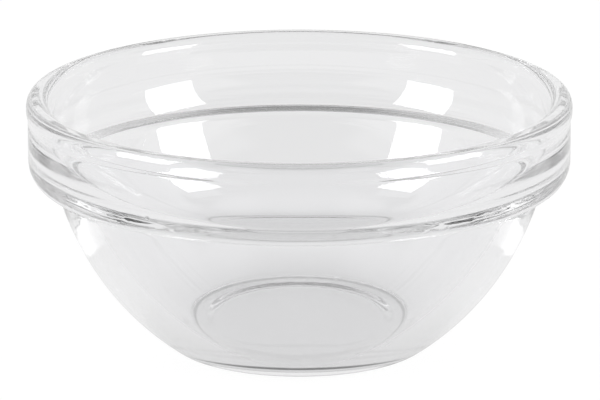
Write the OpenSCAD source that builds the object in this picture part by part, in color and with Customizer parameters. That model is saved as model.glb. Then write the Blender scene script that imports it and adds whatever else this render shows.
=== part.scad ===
// Stackable prep bowl, pressed in one piece from clear glass.
// The bowl stands on its foot ring at z = 0, and its axis is the z axis.
// A stepped collar runs round its mouth. Another bowl's body drops inside
// the collar until the underside of its shoulder sits on this bowl's rim.

/* [Overall] */
// Diameter over the plain band of the collar
rim_d = 90; // [70:1:130]
// Height from the table to the top of the rim
bowl_h = 42.5; // [38:0.5:60]

/* [Collar] */
// Height of the collar, from the underside of its shoulder to the rim
collar_h = 13.9; // [11:0.1:18]
// Thickness of the collar's wall at the rim
collar_wall = 3.5; // [2.8:0.1:5]
// How far the collar stands out past the top of the body
overhang = 4.4; // [3.4:0.1:6]
// Height of the rounded shoulder under the collar's band
shoulder_h = 3.6; // [2:0.1:5]
// How far the shoulder's curve draws in from the band
shoulder_in = 2.3; // [1:0.1:2.6]
// Radius of the hollow curve where the shoulder meets the body
cove_r = 1.2; // [0.6:0.1:1.6]

/* [Rim] */
// How far the rim's roll stands out past the band
roll_out = 0.25; // [0:0.05:0.6]
// Height of the roll, from its widest place to the top
roll_h = 2.3; // [1.8:0.1:3]
// Height of the curve that leads from the band out to the roll
roll_lead = 1.4; // [0.6:0.1:2]
// Width of the rim's outer rounding
rim_outer_round = 1; // [0.6:0.1:1.2]
// Width of the rim's inner rounding
rim_inner_round = 1.9; // [0.8:0.1:1.9]
// Height of both roundings
rim_round_h = 1.7; // [0.8:0.1:1.8]

/* [Throat] */
// Depth below the rim at which the collar's inside starts to draw in
throat_depth = 4.5; // [2:0.1:6]
// Radius of the hollow curve by which it draws in
throat_r = 13.5; // [9:0.5:16]
// Depth below the rim at which the body's inside starts
ledge_depth = 13.5; // [11:0.1:15]
// How far the body's inside starts in from the collar's bore
ledge_w = 3.5; // [2.6:0.1:4.4]
// Radius of the ledge's edge, between the throat and the body's inside
ledge_edge_r = 1.3; // [0.4:0.1:2]

/* [Body] */
// Diameter of the foot, measured where the body's curve would meet the table
foot_d = 42; // [36:0.5:48]
// How far the body's outside swells past a straight line from foot to shoulder
outer_swell = 3.3; // [2:0.1:5]
// Radius of the foot's outer edge
foot_edge_r = 2.6; // [0.5:0.1:3]

/* [Inside] */
// Width of the base's edge: the foot's radius, less that of the floor
floor_inset = 2.5; // [1:0.1:4]
// Thickness of the glass under the floor
floor_t = 2.8; // [2.4:0.1:5]
// How far the inside swells past a straight line from floor to ledge
inner_swell = 2.8; // [1.8:0.1:4]
// Radius where the floor turns up into the wall
floor_edge_r = 2.7; // [1:0.1:6]

/* [Foot] */
// Width of the flat ring on which the bowl stands
ring_w = 3; // [2:0.1:6]
// Width of the slope from the ring up to the hollow's edge
slope_w = 3; // [0.6:0.1:4]
// Height of the hollow at its edge
hollow_edge_h = 0.4; // [0.2:0.05:0.6]
// Height of the hollow at its middle
hollow_h = 0.5; // [0.4:0.05:1.2]

/* [Hidden] */
$fn = 180;

// Radii and heights that the two outlines share
band_r = rim_d / 2;
roll_r = band_r + roll_out;
bore_r = band_r - collar_wall;
foot_r = foot_d / 2;
shoulder_z = bowl_h - collar_h;
roll_z = bowl_h - roll_h;
round_z = bowl_h - rim_round_h;

// Where the middle of the hollow's dome bends, as shares of its width and rise
dome_width_share = 0.5;
dome_rise_share = 0.75;

// Points on an arc round centre c, with half width a and half height b
function arc(c, a, b, from, to, steps) =
    [for (i = [0 : steps]) let (t = from + (to - from) * i / steps)
        [c[0] + a * cos(t), c[1] + b * sin(t)]];

// Points on an S-shaped rise from p to q that starts and ends along z
function rise(p, q, steps) =
    [for (i = [0 : steps]) let (s = i / steps)
        [p[0] + (q[0] - p[0]) * s * s * (3 - 2 * s), p[1] + (q[1] - p[1]) * s]];

// Points on an S-shaped step from p to q that starts and ends level
function step(p, q, steps) =
    [for (i = [0 : steps]) let (s = i / steps)
        [p[0] + (q[0] - p[0]) * s, p[1] + (q[1] - p[1]) * s * s * (3 - 2 * s)]];

// Radius and centre of the arc that swells by s past the line from p to q
function swell_r(p, q, s) = (pow(norm(q - p) / 2, 2) + s * s) / (2 * s);
function swell_centre(p, q, s) =
    (p + q) / 2 - [q[1] - p[1], p[0] - q[0]] / norm(q - p) * (swell_r(p, q, s) - s);

// Point at height z that lies outward of c, at distance d from it
function beside(c, d, z) = [c[0] + sqrt(d * d - pow(z - c[1], 2)), z];

// Point that lies at distance d from c and at distance e from b, below both
function below(c, d, b, e) =
    let (w = norm(b - c), u = (b - c) / w, x = (d * d - e * e + w * w) / (2 * w))
        c + u * x + [-u[1], u[0]] * sqrt(d * d - x * x);

// Direction from c to p
function bearing(c, p) = atan2(p[1] - c[1], p[0] - c[0]);

// Outside of the body: one arc, with the foot's edge and the cove tangent to it
outer_from = [foot_r, 0];
outer_to = [band_r - overhang, shoulder_z];
outer_r = swell_r(outer_from, outer_to, outer_swell);
outer_c = swell_centre(outer_from, outer_to, outer_swell);
foot_edge_c = beside(outer_c, outer_r - foot_edge_r, foot_edge_r);
cove_c = beside(outer_c, outer_r + cove_r, shoulder_z - cove_r);
foot_turn = bearing(outer_c, foot_edge_c);
cove_turn = bearing(outer_c, cove_c);

// Inside: the throat's arc and the body's arc, with the ledge's edge tangent
// to both and the floor's edge tangent to the body's arc
inner_from = [foot_r - floor_inset, floor_t];
inner_to = [bore_r - ledge_w, bowl_h - ledge_depth];
inner_r = swell_r(inner_from, inner_to, inner_swell);
inner_c = swell_centre(inner_from, inner_to, inner_swell);
throat_c = [bore_r - throat_r, bowl_h - throat_depth];
ledge_edge_c = below(throat_c, throat_r + ledge_edge_r, inner_c, inner_r + ledge_edge_r);
floor_edge_c = beside(inner_c, inner_r - floor_edge_r, floor_t + floor_edge_r);
throat_turn = bearing(throat_c, ledge_edge_c);
ledge_turn = bearing(inner_c, ledge_edge_c);
floor_turn = bearing(inner_c, floor_edge_c);

// Foot: the flat ring, the slope inside it and the hollow, measured inward
ring_r = foot_edge_c[0] - ring_w;
hollow_r = ring_r - slope_w;

// Underside, from the axis out to the foot ring
function underside() = concat(
    [[0, hollow_h]],
    [[hollow_r * dome_width_share,
      hollow_edge_h + (hollow_h - hollow_edge_h) * dome_rise_share]],
    step([hollow_r, hollow_edge_h], [ring_r, 0], 8)
);

// Outside, from the foot ring up to the middle of the rim
function outside() = concat(
    arc(foot_edge_c, foot_edge_r, foot_edge_r, -90, foot_turn, 6),
    arc(outer_c, outer_r, outer_r, foot_turn, cove_turn, 36),
    arc(cove_c, cove_r, cove_r, cove_turn + 180, 90, 6),
    arc([band_r - shoulder_in, shoulder_z + shoulder_h], shoulder_in, shoulder_h, -90, 0, 12),
    rise([band_r, roll_z - roll_lead], [roll_r, roll_z], 8),
    arc([roll_r - rim_outer_round, round_z], rim_outer_round, rim_round_h, 0, 90, 8)
);

// Inside, from the rim down past the throat and the ledge to the floor
function inside() = concat(
    arc([bore_r + rim_inner_round, round_z], rim_inner_round, rim_round_h, 90, 180, 8),
    arc(throat_c, throat_r, throat_r, 0, throat_turn, 16),
    arc(ledge_edge_c, ledge_edge_r, ledge_edge_r, throat_turn + 180, ledge_turn + 180, 6),
    arc(inner_c, inner_r, inner_r, ledge_turn, floor_turn, 36),
    arc(floor_edge_c, floor_edge_r, floor_edge_r, floor_turn, -90, 6),
    [[0, floor_t]]
);

// Bowl: one turned section of glass, from the hollow foot to the rolled rim
module bowl() {
    color([0.86, 0.9, 0.9, 0.45])
        rotate_extrude()
            polygon(concat(underside(), outside(), inside()));
}

bowl();
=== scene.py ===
"""Stackable prep bowl of clear pressed glass, on a white table between two softboxes."""
import math
import bpy
import numpy as np
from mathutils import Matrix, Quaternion, Vector


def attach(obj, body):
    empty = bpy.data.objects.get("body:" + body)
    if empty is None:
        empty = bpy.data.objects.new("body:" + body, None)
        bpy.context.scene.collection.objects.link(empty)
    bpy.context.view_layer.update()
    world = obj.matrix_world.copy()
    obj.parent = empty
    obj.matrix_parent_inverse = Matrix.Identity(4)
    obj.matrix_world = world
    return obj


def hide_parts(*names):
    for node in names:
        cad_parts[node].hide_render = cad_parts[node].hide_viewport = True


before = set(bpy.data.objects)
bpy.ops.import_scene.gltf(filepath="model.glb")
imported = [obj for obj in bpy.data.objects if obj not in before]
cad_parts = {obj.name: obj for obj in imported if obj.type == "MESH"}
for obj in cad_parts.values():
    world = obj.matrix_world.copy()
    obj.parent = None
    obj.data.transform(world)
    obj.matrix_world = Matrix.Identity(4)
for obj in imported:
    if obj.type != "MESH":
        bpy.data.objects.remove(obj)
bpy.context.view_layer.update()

# Bowl: one gob of soda-lime glass, pressed between a mould and a plunger and
# then fire-polished. The mould gives the body, the stepped collar and the
# hollow foot. The plunger gives the floor, the ledge's edge and the throat.
bowl_sizes = dict(
    rim_d=90, height=42.5,
    collar_h=13.9, collar_wall=3.5, overhang=4.4, shoulder_h=3.6, shoulder_in=2.3, cove=1.2,
    roll_out=0.25, roll_h=2.3, roll_lead=1.4, outer_round=1, inner_round=1.9, round_h=1.7,
    throat_depth=4.5, throat=13.5, ledge_depth=13.5, ledge_w=3.5, ledge_edge=1.3,
    foot_d=42, outer_swell=3.3, foot_edge=2.6,
    floor_inset=2.5, floor_t=2.8, inner_swell=2.8, floor_edge=2.7,
    ring_w=3, slope_w=3, hollow_edge_h=0.4, hollow_h=0.5,
)
millimetre = 0.001
# Steps round the axis. With the outline's points, they keep the bowl under 200,000 triangles.
turns = 320
# Two points of the outline nearer than this, in millimetres, are one
same_point = 0.001


def arc(centre, half_width, half_height, start, stop, count):
    """Arc of an ellipse: centre + (a cos t, b sin t), with t even from start to stop degrees."""
    t = np.radians(np.linspace(start, stop, count))
    return np.stack([centre[0] + half_width * np.cos(t), centre[1] + half_height * np.sin(t)], 1)


def ease(p, q, count, along):
    """S-curve from p to q: even steps s along one axis (0 is r, 1 is z), and 3 s^2 - 2 s^3 of the
    way on the other."""
    s = np.linspace(0, 1, count)
    share = np.stack([s, s], 1)
    share[:, 1 - along] = s * s * (3 - 2 * s)
    return np.array(p) + (np.array(q) - np.array(p)) * share


def swell(p, q, rise):
    """Arc that rises by h past the chord from p to q: radius (c^2 / 4 + h^2) / 2 h, and its centre."""
    p, q = np.array(p, float), np.array(q, float)
    chord = np.hypot(*(q - p))
    radius = (chord ** 2 / 4 + rise ** 2) / (2 * rise)
    across = np.array([(q - p)[1], (p - q)[0]]) / chord
    return (p + q) / 2 - across * (radius - rise), radius


def beside(centre, distance, height):
    """Point at a height, outward of a centre: r = c + sqrt(d^2 - (z - c)^2)."""
    return np.array([centre[0] + math.sqrt(distance ** 2 - (height - centre[1]) ** 2), height])


def below(first, d, second, e):
    """Lower point at distance d from one centre and e from the other, where the two circles cross."""
    width = np.hypot(*(second - first))
    along = (second - first) / width
    x = (d * d - e * e + width * width) / (2 * width)
    return first + along * x + np.array([-along[1], along[0]]) * math.sqrt(d * d - x * x)


def bearing(centre, point):
    """Direction from a centre to a point, in degrees."""
    return math.degrees(math.atan2(point[1] - centre[1], point[0] - centre[0]))


def bowl_outline(s):
    """Half section (r, z) in millimetres: underside, outside and inside in turn, with every arc
    tangent to the next. Each count is the number of points on its run."""
    band = s["rim_d"] / 2
    roll = band + s["roll_out"]
    bore = band - s["collar_wall"]
    foot = s["foot_d"] / 2
    top = s["height"]
    shoulder_z = top - s["collar_h"]
    roll_z = top - s["roll_h"]
    round_z = top - s["round_h"]

    outer, outer_r = swell([foot, 0], [band - s["overhang"], shoulder_z], s["outer_swell"])
    heel = beside(outer, outer_r - s["foot_edge"], s["foot_edge"])
    cove = beside(outer, outer_r + s["cove"], shoulder_z - s["cove"])
    inner, inner_r = swell([foot - s["floor_inset"], s["floor_t"]],
                           [bore - s["ledge_w"], top - s["ledge_depth"]], s["inner_swell"])
    throat = np.array([bore - s["throat"], top - s["throat_depth"]])
    ledge = below(throat, s["throat"] + s["ledge_edge"], inner, inner_r + s["ledge_edge"])
    corner = beside(inner, inner_r - s["floor_edge"], s["floor_t"] + s["floor_edge"])
    ring = heel[0] - s["ring_w"]
    hollow = ring - s["slope_w"]

    dome = np.linspace(0, 1, num=12)[:, None]
    dome_z = s["hollow_h"] - (s["hollow_h"] - s["hollow_edge_h"]) * dome ** 2
    runs = [
        np.concatenate([hollow * dome, dome_z], 1),
        ease([hollow, s["hollow_edge_h"]], [ring, 0], count=14, along=0),
        arc(heel, s["foot_edge"], s["foot_edge"], -90, bearing(outer, heel), count=12),
        arc(outer, outer_r, outer_r, bearing(outer, heel), bearing(outer, cove), count=56),
        arc(cove, s["cove"], s["cove"], bearing(outer, cove) + 180, 90, count=10),
        arc([band - s["shoulder_in"], shoulder_z + s["shoulder_h"]],
            s["shoulder_in"], s["shoulder_h"], -90, 0, count=22),
        ease([band, roll_z - s["roll_lead"]], [roll, roll_z], count=12, along=1),
        arc([roll - s["outer_round"], round_z], s["outer_round"], s["round_h"], 0, 90, count=16),
        arc([bore + s["inner_round"], round_z], s["inner_round"], s["round_h"], 90, 180, count=16),
        arc(throat, s["throat"], s["throat"], 0, bearing(throat, ledge), count=36),
        arc(ledge, s["ledge_edge"], s["ledge_edge"],
            bearing(throat, ledge) + 180, bearing(inner, ledge) + 180, count=12),
        arc(inner, inner_r, inner_r, bearing(inner, ledge), bearing(inner, corner), count=56),
        arc(corner, s["floor_edge"], s["floor_edge"], bearing(inner, corner), -90, count=14),
        np.array([[corner[0] / 2, s["floor_t"]], [0, s["floor_t"]]]),
    ]
    points = np.concatenate(runs)
    apart = np.hypot(*np.diff(points, axis=0).T) > same_point
    return points[np.concatenate([[True], apart])]


def turned(name, outline, steps):
    """Surface of revolution: point (r, z) of the outline at angle a is (r cos a, r sin a, z).
    The outline starts and ends on the axis, so both ends close in a fan of triangles."""
    a = np.linspace(0, 2 * np.pi, steps, endpoint=False)[:, None]
    r, z = outline[1:-1].T
    grid = np.stack([r * np.cos(a), r * np.sin(a), np.broadcast_to(z, (steps, len(z)))], -1)
    poles = [[0, 0, outline[0, 1]], [0, 0, outline[-1, 1]]]
    points = np.concatenate([grid.reshape(-1, 3), poles])
    row = len(z)
    here = np.arange(steps)[:, None] * row
    after = np.roll(here, -1, axis=0)
    place = np.arange(row - 1)
    quads = np.stack([here + place, after + place, after + place + 1, here + place + 1], -1)
    first, last = len(points) - 2, len(points) - 1
    fans = np.concatenate([
        np.concatenate([np.full_like(here, first), after, here], 1),
        np.concatenate([np.full_like(here, last), here + row - 1, after + row - 1], 1),
    ])
    mesh = bpy.data.meshes.new(name)
    mesh.from_pydata(points.tolist(), [], quads.reshape(-1, 4).tolist() + fans.tolist())
    mesh.shade_smooth()
    return mesh


class Wire:
    """A socket that takes part in sums: each operator adds the Math node that does it."""

    def __init__(self, tree, socket):
        self.tree = tree
        self.socket = socket

    def maths(self, operation, first, second):
        return self.tree.node("ShaderNodeMath", {"operation": operation}, {0: first, 1: second})

    def __add__(self, other):
        return self.maths("ADD", self, other)

    def __sub__(self, other):
        return self.maths("SUBTRACT", self, other)

    def __rsub__(self, other):
        return self.maths("SUBTRACT", other, self)

    def __mul__(self, other):
        return self.maths("MULTIPLY", self, other)

    def __abs__(self):
        return self.tree.node("ShaderNodeMath", {"operation": "ABSOLUTE"}, {0: self})

    __radd__ = __add__
    __rmul__ = __mul__


class Tree:
    """The nodes of one material or world."""

    def __init__(self, owner):
        owner.use_nodes = True
        self.nodes = owner.node_tree.nodes
        self.links = owner.node_tree.links
        self.nodes.clear()

    def node(self, kind, settings=None, sockets=None, output=0):
        """Any node: its type, its settings, which are set first, its sockets' values or links, and
        which of its outputs is read, by name or by place."""
        made = self.nodes.new(kind)
        for name, value in (settings or {}).items():
            setattr(made, name, value)
        for place, value in (sockets or {}).items():
            if isinstance(value, Wire):
                self.links.new(value.socket, made.inputs[place])
            else:
                made.inputs[place].default_value = value
        return Wire(self, made.outputs[output]) if len(made.outputs) else made

    def ramp(self, value, low, high, start=0.0, stop=1.0):
        """Smooth step: start where the value is under low, stop where it is over high."""
        return self.node("ShaderNodeMapRange", {"interpolation_type": "SMOOTHSTEP"},
                         {"Value": value, "From Min": low, "From Max": high,
                          "To Min": start, "To Max": stop})

    def blend(self, factor, first, second):
        """Mix of two colours. The Mix node keeps its colours in sockets 6 and 7 and its colour
        result in output 2."""
        return self.node("ShaderNodeMix", {"data_type": "RGBA"},
                         {0: factor, 6: first, 7: second}, output=2)


# Finish of the glass. Each scale is a count of features to a metre, and heights
# and depths are in metres. A seed's core and edge are shares of the space between
# seeds, and a scuff starts and is full at these levels of its noise.
glass_index = 1.5
greyer_glass = (0.968, 0.968, 0.974, 1)
clearer_glass = (0.978, 0.978, 0.984, 1)
tint_scale = 20
wave_scale, wave_depth = 55, 0.00002
ripple_scale, ripple_squash, ripple_depth = 190, 2.2, 0.000004
seed_scale, seed_depth = 140, 0.000012
seed_core, seed_edge = 0.03, 0.07
scuff_scale, scuff_from, scuff_to = 1500, 0.5, 0.62
foot_rub_full, foot_rub_end = 0.0001, 0.0005
rim_rub_start, rim_rub_full = 0.0422, 0.0425
rim_rub_share = 0.35
scuff_roughness = 0.22


def clear_glass():
    """Pressed glass: clear with a breath of grey, softly wavy where the plunger left it, with a few
    seeds, and scuffed where it stands on the table and where bowls stacked on it have rubbed."""
    glass = bpy.data.materials.new("clear pressed glass")
    t = Tree(glass)
    here = t.node("ShaderNodeTexCoord", output="Object")
    height = t.node("ShaderNodeSeparateXYZ", None, {0: here}, output="Z")

    def noise(scale, detail, squash=1.0):
        """Noise with the given number of features to a metre, drawn out sideways by the squash."""
        placed = t.node("ShaderNodeMapping", None, {"Vector": here, "Scale": (1, 1, squash)})
        return t.node("ShaderNodeTexNoise", None,
                      {"Vector": placed, "Scale": scale, "Detail": detail, "Roughness": 0.5})

    wave = noise(wave_scale, detail=1.0)
    ripple = noise(ripple_scale, detail=2.0, squash=ripple_squash)
    seed = t.node("ShaderNodeTexVoronoi", None,
                  {"Vector": here, "Scale": seed_scale, "Randomness": 1.0})
    seeds = t.ramp(seed, seed_core, seed_edge, 1.0, 0.0)
    foot_rub = t.ramp(height, foot_rub_full, foot_rub_end, 1.0, 0.0)
    rim_rub = t.ramp(height, rim_rub_start, rim_rub_full, 0.0, 1.0)
    scuff = t.ramp(noise(scuff_scale, detail=4.0), scuff_from, scuff_to)
    worn = (foot_rub + rim_rub * rim_rub_share) * scuff

    relief = wave * wave_depth + ripple * ripple_depth + seeds * seed_depth
    bump = t.node("ShaderNodeBump", None, {"Strength": 1.0, "Distance": 1.0, "Height": relief})
    tint = t.blend(noise(tint_scale, detail=1.0), greyer_glass, clearer_glass)
    shader = t.node("ShaderNodeBsdfPrincipled", None, {
        "Base Color": tint, "Roughness": worn * scuff_roughness, "IOR": glass_index,
        "Transmission Weight": 1.0, "Normal": bump})
    t.node("ShaderNodeOutputMaterial", None, {"Surface": shader})
    return glass


bowl_section = bowl_outline(bowl_sizes) * millimetre
bowl = bpy.data.objects.new("glass_bowl", turned("glass_bowl", bowl_section, turns))
bowl.data.materials.append(clear_glass())
bpy.context.scene.collection.objects.link(bowl)
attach(bowl, "root")
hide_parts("bowl")

# Table: a plain white sheet. It shows white to the camera, and a shade under
# white to the glass. Painted shade darkens it under the base and in a thin line
# under the foot ring, which a hair's gap parts from the sheet; the camera sees
# this painted shade only through the glass. A share of it is matt.
table_side = 1.6
foot_gap = 0.00003
table_matt = 0.1
matt_white = (0.9, 0.9, 0.9, 1)
white_to_camera = 1.05
pale = 0.88
pale_to_others = 0.8
# Painted shade under the base: this share of darkening near the axis, fading out between the two
# radii.
painted_base_shade, painted_base_shade_from, painted_base_shade_to = 0.2, 0.012, 0.040
# Painted contact shade: a thin dark ring on the sheet under the foot ring, darker on the camera's side
# than behind.
contact_shade_radius, contact_shade_core, contact_shade_edge = 0.0191, 0.0002, 0.0007
contact_shade_front, contact_shade_back = 0.85, 0.4
contact_shade_front_at, contact_shade_back_at = -0.018, 0.0

table = bpy.data.objects.new("table", bpy.data.meshes.new("table"))
half = table_side / 2
table.data.from_pydata([(-half, -half, -foot_gap), (half, -half, -foot_gap),
                        (half, half, -foot_gap), (-half, half, -foot_gap)], [], [(0, 1, 2, 3)])
white_sheet = bpy.data.materials.new("white sheet")
t = Tree(white_sheet)
place = t.node("ShaderNodeTexCoord", output="Object")
from_axis = t.node("ShaderNodeVectorMath", {"operation": "LENGTH"}, {0: place}, output="Value")
backward = t.node("ShaderNodeSeparateXYZ", None, {0: place}, output="Y")
# Painted shade: the sheet is darker under the base, fading out away from the axis.
painted_shade_under_base = t.ramp(from_axis, painted_base_shade_from, painted_base_shade_to, painted_base_shade, 0.0)
# Painted shade: a thin dark ring under the foot ring, darkest on the camera's side and lighter behind.
contact_shade_depth = t.ramp(backward, contact_shade_front_at, contact_shade_back_at, contact_shade_front, contact_shade_back)
painted_contact_shade = t.ramp(abs(from_axis - contact_shade_radius), contact_shade_core, contact_shade_edge, 1.0, 0.0) * contact_shade_depth
# All the painted shade on the sheet. Only rays that are not camera rays see it.
painted_shade = (1 - painted_shade_under_base) * (1 - painted_contact_shade)
camera_ray = t.node("ShaderNodeLightPath", output="Is Camera Ray")
glossy_ray = t.node("ShaderNodeLightPath", output="Is Glossy Ray")
through_ray = t.node("ShaderNodeLightPath", output="Is Transmission Ray")
glass_ray = 1 - (1 - glossy_ray) * (1 - through_ray)
level_with_painted_shade = (glass_ray * pale + (1 - glass_ray) * pale_to_others) * painted_shade
strength = camera_ray * white_to_camera + (1 - camera_ray) * level_with_painted_shade
white = t.node("ShaderNodeEmission", None, {"Strength": strength})
matt = t.node("ShaderNodeBsdfDiffuse", None, {"Color": matt_white})
mixed = t.node("ShaderNodeMixShader", None, {0: table_matt, 1: white, 2: matt})
t.node("ShaderNodeOutputMaterial", None, {"Surface": mixed})
table.data.materials.append(white_sheet)
bpy.context.scene.collection.objects.link(table)

# Room: pale all round, and dimmer overhead. A dark band runs high round the
# camera's side of it, and a dark patch lies low behind the camera, so that the
# glass has edges. The camera itself sees plain white. Up, back and across are
# parts of a direction of length 1: up 0.5 is 30 degrees above the level.
overhead_start, overhead_full = 0.5, 0.75
overhead_middle, overhead_side = 0.25, 0.5
overhead_dim_middle, overhead_dim_side = 0.68, 0.3
band_dark = 0.95
band_front, band_end = 0.05, 0.25
band_slope, band_low_start, band_low_full = 0.25, 0.52, 0.6
band_high_full, band_high_end = 0.7, 0.78
patch_dark = 0.98
patch_front, patch_end = -0.5, -0.3
patch_full, patch_edge = 0.6, 0.82

room = bpy.data.worlds.new("studio")
bpy.context.scene.world = room
t = Tree(room)
toward = t.node("ShaderNodeTexCoord", output="Generated")
camera_ray = t.node("ShaderNodeLightPath", output="Is Camera Ray")
across = abs(t.node("ShaderNodeSeparateXYZ", None, {0: toward}, output="X"))
back = t.node("ShaderNodeSeparateXYZ", None, {0: toward}, output="Y")
up = t.node("ShaderNodeSeparateXYZ", None, {0: toward}, output="Z")
overhead_dim = t.ramp(across, overhead_middle, overhead_side, overhead_dim_middle, overhead_dim_side)
overhead = t.ramp(up, overhead_start, overhead_full) * overhead_dim
band_foot = t.ramp(up - back * band_slope, band_low_start, band_low_full)
band_head = t.ramp(up, band_high_full, band_high_end, 1.0, 0.0)
band = t.ramp(back, band_front, band_end, 1.0, 0.0) * band_foot * band_head
patch_reach = t.ramp(across + up, patch_full, patch_edge, 1.0, 0.0)
patch = t.ramp(back, patch_front, patch_end, 1.0, 0.0) * patch_reach
room_level = (1 - overhead) * (1 - band * band_dark) * (1 - patch * patch_dark)
seen = camera_ray + (1 - camera_ray) * room_level * pale
shown = t.node("ShaderNodeBackground", None, {"Color": (1, 1, 1, 1), "Strength": seen})
t.node("ShaderNodeOutputWorld", None, {"Surface": shown})

# Softboxes: one at each side, in front of the bowl and above it. Their
# reflections are the bright panels on the collar and under the ledge. Seen
# through the glass they are no brighter than a wall.
softbox_size = (0.36, 0.5)
softbox_place = (0.66, -0.27, 0.32)
softbox_aim = (0, 0, 0.02)
softbox_roll = math.radians(8)
softbox_level = 7.0
softbox_level_through = 1.2

cloth = bpy.data.materials.new("softbox cloth")
t = Tree(cloth)
through_ray = t.node("ShaderNodeLightPath", output="Is Transmission Ray")
strength = softbox_level + (softbox_level_through - softbox_level) * through_ray
glow = t.node("ShaderNodeEmission", None, {"Strength": strength})
t.node("ShaderNodeOutputMaterial", None, {"Surface": glow})


def softbox(name, side):
    """Flat panel that faces the aim, rolled about the line to it. The side is -1 or 1."""
    corner = np.array([[-1, -1, 0], [1, -1, 0], [1, 1, 0], [-1, 1, 0]]) * (*softbox_size, 0) / 2
    panel = bpy.data.objects.new(name, bpy.data.meshes.new(name))
    panel.data.from_pydata(corner.tolist(), [], [(0, 1, 2, 3)])
    panel.data.materials.append(cloth)
    bpy.context.scene.collection.objects.link(panel)
    panel.location = Vector(softbox_place) * Vector((side, 1, 1))
    facing = (Vector(softbox_aim) - panel.location).to_track_quat("-Z", "Y")
    panel.rotation_euler = (facing @ Quaternion((0, 0, 1), -side * softbox_roll)).to_euler()
    panel.visible_camera = False


softbox("left softbox", -1)
softbox("right softbox", 1)

# Camera: a long lens one metre off, looking down by 15.8 degrees, framed as in
# the photograph of 600 by 400 pixels. The bowl's axis at half its height falls
# on the pixel at aim_x, aim_y, and the focal length is in pixels too.
photo_width = 600
photo_height = 400
distance = 1.0
look_down = math.radians(15.8)
focal_pixels = 6005
sensor_width = 36
aim_x, aim_y = 299.3, 218.0
camera = bpy.data.objects.new("camera", bpy.data.cameras.new("camera"))
camera.data.sensor_width = sensor_width
camera.data.lens = focal_pixels / photo_width * sensor_width
camera.data.shift_x = (photo_width / 2 - aim_x) / photo_width
camera.data.shift_y = (aim_y - photo_height / 2) / photo_width
camera.location = (0, -distance * math.cos(look_down),
                   bowl_sizes["height"] / 2 * millimetre + distance * math.sin(look_down))
camera.rotation_euler = (math.pi / 2 - look_down, 0, 0)
bpy.context.scene.collection.objects.link(camera)
bpy.context.scene.camera = camera

# View: light crosses the thick collar many times before it leaves, so the
# paths through the glass are long ones. The colours are shown as written.
most_bounces = 64
bpy.context.scene.view_settings.view_transform = "Standard"
bpy.context.scene.cycles.max_bounces = most_bounces
bpy.context.scene.cycles.transmission_bounces = most_bounces
bpy.context.scene.cycles.glossy_bounces = most_bounces
